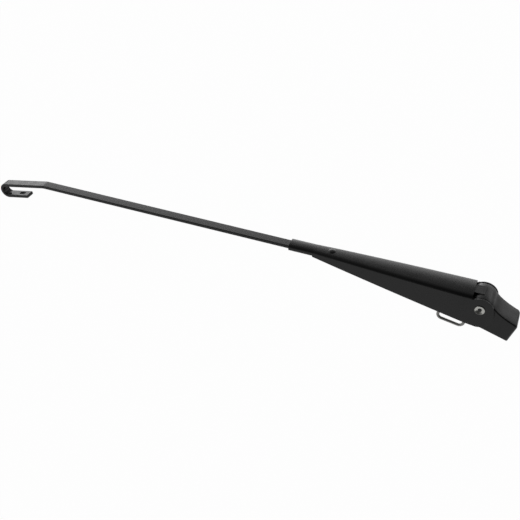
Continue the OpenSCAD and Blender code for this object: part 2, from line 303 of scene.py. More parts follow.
def carve(piece: Piece, tool: Piece, how: Carve) -> None:
    """Cuts a tool body out of a piece, or joins it on, and removes the tool.

    Args:
        piece: the piece.
        tool: the body that meets it.
        how: cut or join.
    """
    step = piece.modifiers.new(how.name, "BOOLEAN")
    step.operation = how.value
    step.solver = "EXACT"
    step.object = tool
    settle(piece)
    bpy.data.objects.remove(tool)


def soften(piece: Piece, width: float, over: float) -> None:
    """Rounds a piece's sharp edges with two faces each.

    Args:
        piece: the piece.
        width: width of the rounding in millimetres.
        over: the least angle in degrees that counts as sharp.
    """
    bevel = piece.modifiers.new("edges", "BEVEL")
    bevel.width = width * MM
    bevel.segments = 2
    bevel.limit_method = "ANGLE"
    bevel.angle_limit = math.radians(over)
    bevel.use_clamp_overlap = True
    settle(piece)


def smooth(piece: Piece, under: float, weight: int = 0) -> None:
    """Shades a piece smooth, apart from its sharp edges.

    Args:
        piece: the piece.
        under: edges with a smaller angle in degrees are smooth.
        weight: how far large faces keep their own direction up to their edges, 0 for not at all.
    """
    piece.data.shade_smooth()
    piece.data.set_sharp_from_angle(angle=math.radians(under))
    if weight:
        weights = piece.modifiers.new("weights", "WEIGHTED_NORMAL")
        weights.mode = "FACE_AREA"
        weights.weight = weight
        weights.keep_sharp = True
        settle(piece)


def block(place: Place, low: Point, high: Point) -> Piece:
    """A box between two corners, for cutting or joining.

    Args:
        place: the frame of the corners.
        low: lowest corner.
        high: highest corner.

    Returns:
        The box.
    """
    skin = Skin(place)
    skin.loft([
        [(x, low[1], low[2]), (x, high[1], low[2]), (x, high[1], high[2]), (x, low[1], high[2])]
        for x in (low[0], high[0])
    ])
    return skin.piece()


def prism(place: Place, outline: Sequence[Flat], half: float) -> Piece:
    """A side view drawn out across the width, on both sides of the middle, for cutting.

    Args:
        place: the frame of the outline.
        outline: points in x and z.
        half: half of the width.

    Returns:
        The body.
    """
    skin = Skin(place)
    skin.loft([[(x, y, z) for x, z in outline] for y in (-half, half)])
    return skin.piece()


def sweep(place: Place, path: Sequence[Vector], radius: float, sides: int, name: str) -> Piece:
    """A round wire along a path, with slightly rounded ends.

    Args:
        place: the frame of the path.
        path: the wire's middle line.
        radius: the wire's radius.
        sides: points round the wire.
        name: the piece's name.

    Returns:
        The wire.
    """
    last, upright = len(path) - 1, 0.9
    heads = [(path[min(i + 1, last)] - path[max(i - 1, 0)]).normalized() for i in range(last + 1)]
    across = Vector((0, 0, 1)) if abs(heads[0].z) < upright else Vector((0, 1, 0))
    rings = []
    for i, (mid, head) in enumerate(zip(path, heads)):
        across = (across - head * across.dot(head)).normalized()
        other = head.cross(across)
        turns = [2 * math.pi * j / sides for j in range(sides)]
        spokes = [across * math.cos(a) + other * math.sin(a) for a in turns]
        ahead, narrow = 0.3 * radius, 0.7
        shells = [(-ahead, narrow)] * (i == 0) + [(0.0, 1.0)] + [(ahead, narrow)] * (i == last)
        for along, share in shells:
            centre = mid + head * along
            rings.append([tuple(centre + spoke * (radius * share)) for spoke in spokes])
    skin = Skin(place)
    skin.loft(rings)
    return skin.piece(name)


def turned(
    place: Place, profile: Sequence[Flat], axis: Axis, sides: int, x: float = 0.0, name: str = "tool",
) -> Piece:
    """A body of revolution.

    Args:
        place: the frame that it is built in.
        profile: points of radius and height along the axis, from end to end.
        axis: the axis that it turns about.
        sides: points round the axis.
        x: where the axis stands.
        name: the piece's name, left out for a body that only cuts.

    Returns:
        The body.
    """
    rings = []
    for radius, along in profile:
        ring = []
        for j in range(sides):
            a = 2 * math.pi * j / sides
            u, v = radius * math.cos(a), radius * math.sin(a)
            ring.append((x + u, along, v) if axis is Axis.ACROSS else (x + u, v, along))
        rings.append(ring)
    skin = Skin(place)
    skin.loft(rings)
    return skin.piece(name)


class Recipe:
    """A material's nodes and the wires between them."""

    def __init__(self, name: str) -> None:
        """Starts a material with its main shader.

        Args:
            name: the material's name.
        """
        self.material = bpy.data.materials.new(name)
        self.material.use_nodes = True
        self.tree = self.material.node_tree
        self.shader = next(n for n in self.tree.nodes if n.type == "BSDF_PRINCIPLED")
        self.place = self.tree.nodes.new("ShaderNodeTexCoord").outputs["Object"]

    def node(self, kind: str, **values: object) -> bpy.types.Node:
        """Adds a node.

        Args:
            kind: the node's type, without its common beginning.
            values: the node's settings.

        Returns:
            The node.
        """
        made = self.tree.nodes.new("ShaderNode" + kind)
        for key, value in values.items():
            setattr(made, key, value)
        return made

    def wire(self, a: Socket, b: Socket) -> None:
        """Joins an output to an input."""
        self.tree.links.new(a, b)

    def noise(self, per_metre: float, detail: float) -> Socket:
        """A field of noise fixed to the piece.

        Args:
            per_metre: how many waves it has to a metre.
            detail: its levels of detail.

        Returns:
            The noise, from 0 to 1.
        """
        field = self.node("TexNoise")
        field.inputs["Scale"].default_value = per_metre
        field.inputs["Detail"].default_value = detail
        self.wire(self.place, field.inputs["Vector"])
        return field.outputs["Fac"]

    def spread(self, source: Socket, low: float, high: float) -> Socket:
        """Turns the middle of a field of noise into a range of values.

        Args:
            source: the field.
            low: the least value.
            high: the greatest value.

        Returns:
            The new values.
        """
        span = self.node("MapRange")
        limits = {"From Min": 0.35, "From Max": 0.65, "To Min": low, "To Max": high}
        for name, value in limits.items():
            span.inputs[name].default_value = value
        self.wire(source, span.inputs["Value"])
        return span.outputs["Result"]

    def tint(self, field: Socket, low: Point, high: Point) -> None:
        """Colours the surface between two colours.

        Args:
            field: the noise that mixes them.
            low: the colour where it is low.
            high: the colour where it is high.
        """
        mix = self.node("Mix", data_type="RGBA")
        mix.inputs["A"].default_value = (*low, 1)
        mix.inputs["B"].default_value = (*high, 1)
        self.wire(self.spread(field, 0.0, 1.0), mix.inputs["Factor"])
        mixed = next(o for o in mix.outputs if o.type == "RGBA")
        self.wire(mixed, self.shader.inputs["Base Color"])

    def sheen(self, field: Socket, low: float, high: float) -> None:
        """Varies the surface's roughness by a field of noise, from low to high."""
        self.wire(self.spread(field, low, high), self.shader.inputs["Roughness"])

    def combine(self, operation: str, first: Socket, second: Socket | float) -> Socket:
        """Works out a value from two others.

        Args:
            operation: what to do with them.
            first: one of them.
            second: the other, or a plain number.

        Returns:
            The result.
        """
        step = self.node("Math", operation=operation)
        self.wire(first, step.inputs[0])
        if isinstance(second, float):
            step.inputs[1].default_value = second
        else:
            self.wire(second, step.inputs[1])
        return step.outputs[0]

    def bumps(self, layers: Sequence[tuple[Socket, float]]) -> None:
        """Stacks height fields on the surface.

        Args:
            layers: each field with its depth in metres.
        """
        under = None
        for height, depth in layers:
            bump = self.node("Bump")
            bump.inputs["Strength"].default_value = 1.0
            bump.inputs["Distance"].default_value = depth
            self.wire(height, bump.inputs["Height"])
            if under is not None:
                self.wire(under, bump.inputs["Normal"])
            under = bump.outputs["Normal"]
        self.wire(under, self.shader.inputs["Normal"])


@dataclass(frozen=True)
class BlackPaint:
    """Stoved black paint: slight orange peel, fine dust, and a sheen that varies a little."""

    name: str
    deep: Point
    dusty: Point
    shine: Flat
    peel: float
    grain: float
    grain_per_metre: float

    @cache
    def material(self) -> Finish:
        """Builds the paint, once for all the pieces that wear it.

        Returns:
            The material.
        """
        recipe = Recipe(self.name)
        recipe.tint(recipe.noise(38.0, 3.0), self.deep, self.dusty)
        recipe.sheen(recipe.noise(160.0, 3.0), *self.shine)
        recipe.shader.inputs["IOR"].default_value = 1.45
        recipe.bumps([
            (recipe.noise(520.0, 1.0), self.peel),
            (recipe.noise(self.grain_per_metre, 2.0), self.grain),
        ])
        return recipe.material


@dataclass(frozen=True)
class BareMetal:
    """Plated or oiled steel, finely rough and with a slightly uneven sheen."""

    name: str
    light: Point
    dull: Point
    shine: Flat
    rough: float

    @cache
    def material(self) -> Finish:
        """Builds the metal, once for all the pieces that wear it.

        Returns:
            The material.
        """
        recipe = Recipe(self.name)
        recipe.tint(recipe.noise(90.0, 4.0), self.light, self.dull)
        recipe.shader.inputs["Metallic"].default_value = 1.0
        recipe.sheen(recipe.noise(300.0, 3.0), *self.shine)
        recipe.bumps([(recipe.noise(900.0, 2.0), self.rough)])
        return recipe.material


SHEET_PAINT = BlackPaint(
    "sheet_paint", deep=(0.0035, 0.0035, 0.0037), dusty=(0.006, 0.006, 0.0062), shine=(0.25, 0.31),
    peel=1.2e-6, grain=3e-7, grain_per_metre=2600.0,
)
CAST_PAINT = BlackPaint(
    "cast_paint", deep=(0.004, 0.004, 0.0042), dusty=(0.007, 0.007, 0.0072), shine=(0.28, 0.36),
    peel=5e-6, grain=2.5e-6, grain_per_metre=1700.0,
)
ZINC_PLATE = BareMetal("zinc_plate", (0.42, 0.42, 0.4), (0.34, 0.34, 0.325), (0.5, 0.6), rough=2e-6)
PIN_STEEL = BareMetal("pin_steel", (0.55, 0.55, 0.52), (0.45, 0.45, 0.42), (0.08, 0.14), rough=1e-6)
WIRE_STEEL = BareMetal("wire_steel", (0.30, 0.30, 0.31), (0.2, 0.2, 0.21), (0.22, 0.36), rough=3e-6)


class SubAssembly:
    """What the arm's sub-assemblies have in common: their pieces are dressed and reported."""

    def add(self, piece: Piece, body: str, slot: Slot, finish: Finish, *nodes: str) -> None:
        """Dresses a piece and puts it on its body.

        Args:
            piece: the piece.
            body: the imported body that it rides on.
            slot: the record's material slot.
            finish: its material.
            nodes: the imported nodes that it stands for.
        """
        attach(piece, body)
        self.dress(piece, slot, finish, *nodes)

    def dress(self, piece: Piece, slot: Slot, finish: Finish, *nodes: str) -> None:
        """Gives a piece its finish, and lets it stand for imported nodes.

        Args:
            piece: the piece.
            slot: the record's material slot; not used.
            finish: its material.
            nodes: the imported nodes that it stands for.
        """
        piece.data.materials.clear()
        piece.data.materials.append(finish)
        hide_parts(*nodes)
        LOG.info("%s: %d faces, for %s", piece.name, len(piece.data.polygons), ", ".join(nodes))

    def carry(self, node: str, finish: Finish) -> None:
        """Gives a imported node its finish.

        Args:
            node: the node's name.
            finish: its material.
        """
        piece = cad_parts[node]
        piece.data.materials.clear()
        piece.data.materials.append(finish)
        LOG.info("%s: carried over", node)


@dataclass
class MountingHead(SubAssembly):
    """The cast head: barrel, slope, nose, pockets, link slot and serrated spindle bore.

    The slope leaves the barrel at the angle slope_from and runs as a curve to slope_end short of the
    heel's rear end. slope_bend is the curve's control point, its height counted from the heel's top.
    """

    width: float = 21.2
    back: float = 32.3
    height: float = 18.1
    barrel: float = 10.6
    edge: float = 0.8
    end_round: float = 2.4
    crown: float = 0.5
    slope_from: float = 130.0
    slope_bend: Flat = (-12.6, 2.05)
    slope_end: float = 4.1
    heel_round: float = 3.0
    heel_run: float = 5.0
    anchor: Flat = ANCHOR
    lug: float = 5.3
    bore: float = 5.5
    bore_depth: float = 12.0
    teeth: int = 40
    tooth: float = 0.35
    nose_half: float = 5.2
    nose_ahead: float = 8.6
    nose_top: float = 11.46
    pocket_from: float = 6.3
    pocket_floor: float = 8.2
    pin_hole: float = 3.25
    slot_width: float = 3.4
    slot_length: float = 16.0
    slot_behind: float = 4.9
    slot_top: float = -6.2
    boss: float = 6.6
    outside: float = 12.0
    clip_sheet: float = 0.8
    clip_half: float = 3.0
    clip_clear: float = 0.03

    def outline(self) -> list[Flat]:
        """The casting's side view.

        Returns:
            Points from the lower rear corner, counter-clockwise.
        """
        under, end, top, r = -HEAD.z, -self.back, self.height - HEAD.z, self.heel_round
        first = -math.degrees(math.acos((self.anchor[0] + self.lug) / self.barrel))
        barrel = arc((0, 0), self.barrel, first, self.slope_from, 64)
        a = Vector(barrel[-1])
        b = Vector((self.slope_bend[0], top + self.slope_bend[1]))
        c = Vector((end + self.slope_end, top))
        steps = 24
        shares = [i / steps for i in range(1, steps + 1)]
        slope = [(1 - t) ** 2 * a + 2 * t * (1 - t) * b + t * t * c for t in shares]
        return [
            (end, under),
            *arc(self.anchor, self.lug, -90, 0, 10),
            *barrel,
            *[(p.x, p.y) for p in slope],
            *arc((end + r, top - r), r, 90, 180, 10),
        ]

    def widths(self) -> list[float]:
        """Where the casting's sections stand across the width.

        Returns:
            The places, from side to side.
        """
        half = self.width / 2
        rim = [half - self.edge + self.edge * math.sin(math.radians(a)) for a in range(90, -1, -15)]
        rim += [half - self.edge - (self.end_round - self.edge) * i / 4 for i in range(1, 5)]
        inner = half - self.end_round
        steps = 14
        across = [inner - 2 * inner * i / steps for i in range(1, steps)]
        return [*rim, *across, *[-y for y in reversed(rim)]]

    def level(self, y: float) -> list[Point]:
        """The casting's section at one place across the width.

        Args:
            y: the place.

        Returns:
            The section's points.
        """
        outline, half = self.outline(), self.width / 2
        depth = corner_depth(y, half, self.edge)
        cut = corner_depth(y, half, self.end_round)
        raised = inset(outline, -self.crown * (1 - (y / half) ** 4))
        flat_points, growing_points = 12, 24
        points = []
        for i, ((x, z), (rx, rz)) in enumerate(zip(inset(outline, depth), raised)):
            rear = clamp((self.heel_run - self.back - x) / self.heel_run)
            share = min(1.0 - rear, max(0.0, (i - flat_points) / growing_points))
            x, z = x + (rx - outline[i][0]) * share, z + (rz - outline[i][1]) * share
            points.append((x + max(0.0, cut - depth) * rear, y, z))
        return points

    def casting(self) -> Piece:
        """The outline drawn out across the width, slightly crowned, with rounded long edges.

        Returns:
            The body before it is cut.
        """
        skin = Skin(HEAD)
        skin.loft([self.level(y) for y in self.widths()])
        return skin.piece("head_casting")

    def bore_tool(self) -> Piece:
        """The serrated hole for the spindle.

        Returns:
            The body to cut.
        """
        ring = []
        for i in range(2 * self.teeth):
            a = math.pi * i / self.teeth
            r = self.bore + (self.tooth if i % 2 else 0)
            ring.append((r * math.cos(a), r * math.sin(a)))
        skin = Skin(ROW)
        skin.loft([[(x, y, z) for x, y in ring] for z in (-1.0, self.bore_depth)])
        return skin.piece()

    def slot_tool(self) -> Piece:
        """The slot that the link swings in.

        Returns:
            The body to cut.
        """
        left, below = self.anchor[0] - self.slot_behind, -HEAD.z - 1
        right = left + self.slot_length
        start = math.degrees(math.asin(self.slot_top / self.boss))
        outline = [
            (left, below), (right, below), (right, self.slot_top),
            *arc((0, 0), self.boss, start, -180 - start, 16), (left, self.slot_top),
        ]
        return prism(HEAD, outline, self.slot_width / 2)

    def clip_tools(self) -> list[Piece]:
        """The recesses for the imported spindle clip: under its foot and behind its leaf.

        Returns:
            The bodies to cut.
        """
        lo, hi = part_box("spindle_clip")
        clear, past = self.clip_clear, self.clip_sheet + self.clip_clear
        left, side = lo.x / MM - clear, self.clip_half + clear
        return [
            block(ROW, (left, lo.y / MM - clear, -1.0), (hi.x / MM + clear, hi.y / MM + clear, past)),
            block(ROW, (left, -side, 0), (lo.x / MM + past, side, hi.z / MM + clear)),
        ]

    def build(self) -> Piece:
        """Makes the head.

        Returns:
            The finished mesh.
        """
        head = self.casting()
        nose = block(ARM, (-1, -self.nose_half, 0), (self.nose_ahead, self.nose_half, self.nose_top))
        carve(head, nose, Carve.JOIN)
        ahead, above = 14, 17
        for low, high in ((self.nose_half, self.width), (-self.width, -self.nose_half)):
            pocket = block(ARM, (self.pocket_from, low, self.pocket_floor), (ahead, high, above))
            carve(head, pocket, Carve.CUT)
        hole = turned(HEAD, [(self.pin_hole, -self.outside), (self.pin_hole, self.outside)], Axis.ACROSS, 48)
        for tool in (hole, self.slot_tool(), self.bore_tool(), *self.clip_tools()):
            carve(head, tool, Carve.CUT)
        soften(head, 0.3, 40)
        smooth(head, 30, weight=50)
        return head

    def assemble(self) -> None:
        """Builds and dresses the head."""
        self.add(self.build(), "head", Slot.CASTING, CAST_PAINT.material(), "mounting_head")


@dataclass
class ArmChannel(SubAssembly):
    """The pressed channel: crowned web, walls, ears and the crimp round the rod.

    The walls' lower edge rises by wall_slope to wall_kink at the kink, where the legs fold under the
    rod over fold_run. seam is half of the gap that stays open between them.
    """

    sheet: float = 1.2
    length: float = 163.4
    kink: float = 141.8
    flare_from: float = 14.0
    flare_bow: float = 0.4
    hinge_half: float = EAR_HALF
    crimp_half: float = 6.2
    web_top: float = WEB_TOP
    crown: float = 0.8
    web_end: float = 7.2
    bend: float = 3.6
    crimp_bend: float = 2.2
    crimp_round: float = 2.8
    crimp_crown: float = 0.3
    crimp_lift: float = 0.55
    crimp_low: float = 7.57
    wall_floor: float = -17.3
    wall_kink: float = 7.57
    wall_slope: float = 0.18
    wall_strip: float = 3.2
    fold_run: float = 1.6
    seam: float = 0.7
    lip: float = 1.2
    ear_top: float = 10.9
    ear_low: Flat = (1.2, -4.5)
    ear_low_r: float = 13.0
    rod_tail: float = ROD_TAIL
    seat: float = 6.2
    seat_floor: float = 4.2
    seat_depth: float = 0.45

    def half_at(self, x: float) -> float:
        """Half of the outside width.

        Args:
            x: the place along the channel.

        Returns:
            The distance from the middle to the wall's outer face.
        """
        if x >= self.kink:
            return self.crimp_half
        if x <= self.flare_from:
            return self.hinge_half
        flare = (self.kink - x) / (self.kink - self.flare_from)
        flare *= 1 + self.flare_bow * (1 - flare)
        return self.crimp_half + (self.hinge_half - self.crimp_half) * flare

    def share_at(self, x: float) -> float:
        """How much of the hinge end's form is left at x."""
        return (self.half_at(x) - self.crimp_half) / (self.hinge_half - self.crimp_half)

    def leg(self, x: float, depth: float, fold: float) -> list[Flat]:
        """The wall's lower part, from its edge up.

        Args:
            x: the place along the channel.
            depth: how far inside the outer face.
            fold: 0 in the open channel, 1 where it is folded under the rod.

        Returns:
            Points in y and z.
        """
        steps = 8
        low = max(self.wall_floor, self.wall_kink - (self.kink - x) * self.wall_slope)
        side = self.half_at(x) - depth
        straight = [(side, low + self.wall_strip * i / steps) for i in range(steps + 1)]
        mid = (self.crimp_half - self.crimp_bend, self.crimp_low + self.crimp_bend)
        under = self.crimp_low + depth
        folded = [
            (self.seam, under), (self.seam + self.lip, under),
            *arc(mid, self.crimp_bend - depth, -90, 0, steps - 2),
        ]
        return [
            (a[0] + (b[0] - a[0]) * fold, a[1] + (b[1] - a[1]) * fold)
            for a, b in zip(straight, folded)
        ]

    def top(self, x: float, depth: float) -> list[Flat]:
        """The bend and the crowned web, from the wall to just short of the middle.

        Args:
            x: the place along the channel.
            depth: how far inside the outer face.

        Returns:
            Points in y and z.
        """
        half = self.half_at(x)
        back = clamp((self.rod_tail - x) / (self.rod_tail - self.flare_from))
        crown = self.crown * back if depth else self.crimp_crown + (self.crown - self.crimp_crown) * back
        r = self.crimp_bend if depth else self.crimp_round
        r += (self.bend - r) * self.share_at(x)
        over = (1 - back) * (0.0 if depth else self.crimp_crown + self.crimp_lift)
        lean = math.atan2(2 * crown, half - r)
        edge_y = half - r + r * math.sin(lean)
        mid = (half - r, self.web_top + over - crown - r * math.cos(lean))
        reach = half - r + (r - depth) * math.sin(lean)
        web, steps = [], 8
        for i in range(steps - 1, 0, -1):
            y = reach * i / steps
            web.append((y, self.web_top + over - depth - crown * (y / edge_y) ** 2))
        return [*arc(mid, r - depth, 0, 90 - math.degrees(lean), 9), *web]

    def half_section(self, x: float, depth: float, fold: float) -> list[Flat]:
        """One side of the section, from the wall's edge to the middle of the web."""
        points = [*self.leg(x, depth, fold), *self.top(x, depth)]
        return [*points, (0.0, points[-1][1] + (points[-1][1] - points[-2][1]) / 3)]

    def stations(self) -> list[tuple[float, float]]:
        """Where the sections stand, each with its fold.

        Returns:
            Pairs of x and fold.
        """
        behind_flare, steps, fold_steps = 9.0, 30, 5
        rows = [(self.web_end, 0.0), (behind_flare, 0.0), (self.flare_from, 0.0)]
        for i in range(1, steps + 1):
            rows.append((self.flare_from + (self.kink - self.flare_from) * i / steps, 0.0))
        for t in (i / fold_steps for i in range(1, fold_steps + 1)):
            rows.append((self.kink + self.fold_run * t, t * t * (3 - 2 * t)))
        return [*rows, ((self.kink + self.fold_run + self.length) / 2, 1.0), (self.length, 1.0)]

    def ear_outline(self, top_z: float) -> list[Flat]:
        """The ear's rim, from the bend round the back to the bottom.

        Args:
            top_z: height of the rim where the web's rear edge meets it.

        Returns:
            Points in x and z, without the two ends at the web's rear edge.
        """
        reach = math.hypot(self.web_end, top_z)
        first = math.degrees(math.atan2(top_z, self.web_end))
        keeps, settles, tangent, foot = first + 8, first + 12, 172.5, 268
        return [
            *arc((0, 0), reach, first, keeps, 3)[1:],
            *arc((0, 0), self.ear_top, settles, tangent, 34),
            *arc(self.ear_low, self.ear_low_r, tangent, foot, 36),
        ]

    def build(self) -> Piece:
        """Makes the channel as one skin of sheet.

        Returns:
            The finished mesh.
        """
        skin = Skin(ARM)
        rows: list[list[int]] = []
        for x, fold in self.stations():
            outer = self.half_section(x, 0.0, fold)
            inner = self.half_section(x, self.sheet, fold)
            full = [*outer, *[(-y, z) for y, z in reversed(outer[:-1])]]
            back = [*inner, *[(-y, z) for y, z in reversed(inner[:-1])]]
            rows.append(skin.ring([(x, y, z) for y, z in [*full, *reversed(back)]]))
        for a, b in zip(rows, rows[1:]):
            skin.bridge(a, b)
        count = len(rows[0]) // 2
        wall = len(self.leg(0, 0, 0))
        self.close_front(skin, rows[-1], count)
        self.close_rear(skin, rows[0], count, wall)
        self.ears(skin, rows[0], count, wall)
        arm = skin.piece("arm_pressing")
        floor_at, outside = self.hinge_half - self.seat_depth, self.hinge_half + 1
        mouth = self.seat + (self.seat - self.seat_floor) / self.seat_depth
        for sign in (1, -1):
            cone = [(self.seat_floor, sign * floor_at), (mouth, sign * outside)]
            carve(arm, turned(ARM, cone, Axis.ACROSS, 64), Carve.CUT)
        soften(arm, 0.16, 50)
        smooth(arm, 28, weight=100)
        return arm

    def close_front(self, skin: Skin, row: Sequence[int], count: int) -> None:
        """Closes the sheet's edge at the front end."""
        skin.bridge(row[:count], list(reversed(row[count:])), closed=False)

    def close_rear(self, skin: Skin, row: Sequence[int], count: int, wall: int) -> None:
        """Closes the web's rear edge, between the ears."""
        outer, inner = row[:count], list(reversed(row[count:]))
        skin.bridge(outer[wall:count - wall], inner[wall:count - wall], closed=False)

    def ears(self, skin: Skin, row: Sequence[int], count: int, wall: int) -> None:
        """Adds the ears behind the walls.

        Args:
            skin: the channel's skin.
            row: its rear section.
            count: points along one face of the sheet.
            wall: points along one wall.
        """
        outer, inner = row[:count], list(reversed(row[count:]))
        for side, sign in ((slice(0, wall + 1), 1), (slice(count - wall - 1, count), -1)):
            outside, inside = list(outer[side]), list(inner[side])
            if sign < 0:
                outside.reverse()
                inside.reverse()
            top_z = skin.points[outside[-1]][2]
            rim = self.ear_outline(top_z)
            outer_rim = skin.ring([(x, sign * self.hinge_half, z) for x, z in rim])
            inner_rim = skin.ring([(x, sign * (self.hinge_half - self.sheet), z) for x, z in rim])
            skin.faces.append([*outside, *outer_rim])
            skin.faces.append([*inside, *inner_rim])
            loop_out = [outside[-1], *outer_rim, outside[0]]
            loop_in = [inside[-1], *inner_rim, inside[0]]
            skin.bridge(loop_out, loop_in, closed=False)

    def assemble(self) -> None:
        """Builds and dresses the channel."""
        self.add(self.build(), "arm", Slot.PAINT, SHEET_PAINT.material(), "arm_channel")


@dataclass
class BladeRod(SubAssembly):
    """The flat bar with its bend, hook and slot.

    hook is the hook's length from the bend to its round end, back the length of its lower leg, gap the
    space between the legs, and slot_at the slot's place from the lower leg's end.
    """

    width: float = 9.0
    thick: float = ROD_THICK
    top: float = ROD_TOP
    tail: float = ROD_TAIL
    reach: float = 411.9
    droop: float = 11.2
    hook: float = 53.5
    back: float = 30.0
    gap: float = 8.6
    bend: float = 14.0
    slot_length: float = 7.0
    slot_width: float = 3.6
    slot_at: float = 8.3
    corner: float = 0.6

    def hook_point(self, x: float, z: float) -> Flat:
        """A point of the hook, turned into the rod's own frame."""
        c, s = math.cos(math.radians(self.droop)), math.sin(math.radians(self.droop))
        return self.reach + x * c + z * s, self.top - x * s + z * c

    def stations(self) -> list[tuple[Flat, Flat]]:
        """The bar's top and bottom edges in side view.

        Returns:
            Pairs of points: on the outer face, and on the inner face.
        """
        turn = self.bend * math.tan(math.radians(self.droop / 2))
        mid = (self.reach - turn, self.top - self.bend)
        out_r = self.gap / 2 + self.thick
        loop = (self.hook - out_r, -out_r)
        pairs = [((self.tail, self.top), (self.tail, self.top - self.thick))]
        pairs += list(zip(
            arc(mid, self.bend, 90, 90 - self.droop, 8),
            arc(mid, self.bend - self.thick, 90, 90 - self.droop, 8),
        ))
        outer = arc(loop, out_r, 90, -90, 48)
        inner = arc(loop, out_r - self.thick, 90, -90, 48)
        pairs += [(self.hook_point(*a), self.hook_point(*b)) for a, b in zip(outer, inner)]
        end = self.hook - self.back
        pairs.append((self.hook_point(end, -2 * out_r), self.hook_point(end, self.thick - 2 * out_r)))
        return pairs

    def ring(self, outer: Flat, inner: Flat) -> list[Point]:
        """The bar's section, a rectangle with rounded corners.

        Args:
            outer: the middle of its outer face.
            inner: the middle of its inner face.

        Returns:
            The section's points.
        """
        a, b = Vector(outer), Vector(inner)
        down = (b - a).normalized()
        half, r = self.width / 2, self.corner
        side, low = half - r, self.thick - r
        placed, steps = [], 3
        for k, (cy, cz) in enumerate(((side, r), (-side, r), (-side, low), (side, low))):
            for i in range(steps + 1):
                t = math.radians(90 * (k + i / steps))
                y, z = cy + r * math.cos(t), cz - r * math.sin(t)
                p = a + down * z
                placed.append((p.x, y, p.y))
        return placed

    def build(self) -> Piece:
        """Makes the rod.

        Returns:
            The finished mesh.
        """
        skin = Skin(ARM)
        skin.loft([self.ring(a, b) for a, b in self.stations()])
        rod = skin.piece("rod_bar")
        out_r = self.gap / 2 + self.thick
        middle = self.hook - self.back + self.slot_at
        straight = (self.slot_length - self.slot_width) / 2
        outline = [
            *arc((middle + straight, 0), self.slot_width / 2, -90, 90, 12),
            *arc((middle - straight, 0), self.slot_width / 2, 90, 270, 12),
        ]
        tool = Skin(ARM)
        rings = []
        for z in (-2 * out_r - 1, -2 * out_r + self.thick + 1):
            row = [self.hook_point(x, z) for x, _ in outline]
            rings.append([(p[0], y, p[1]) for p, (_, y) in zip(row, outline)])
        tool.loft(rings)
        carve(rod, tool.piece(), Carve.CUT)
        soften(rod, 0.25, 50)
        smooth(rod, 35, weight=100)
        return rod

    def assemble(self) -> None:
        """Builds and dresses the rod."""
        self.add(self.build(), "arm", Slot.PAINT, SHEET_PAINT.material(), "blade_rod")


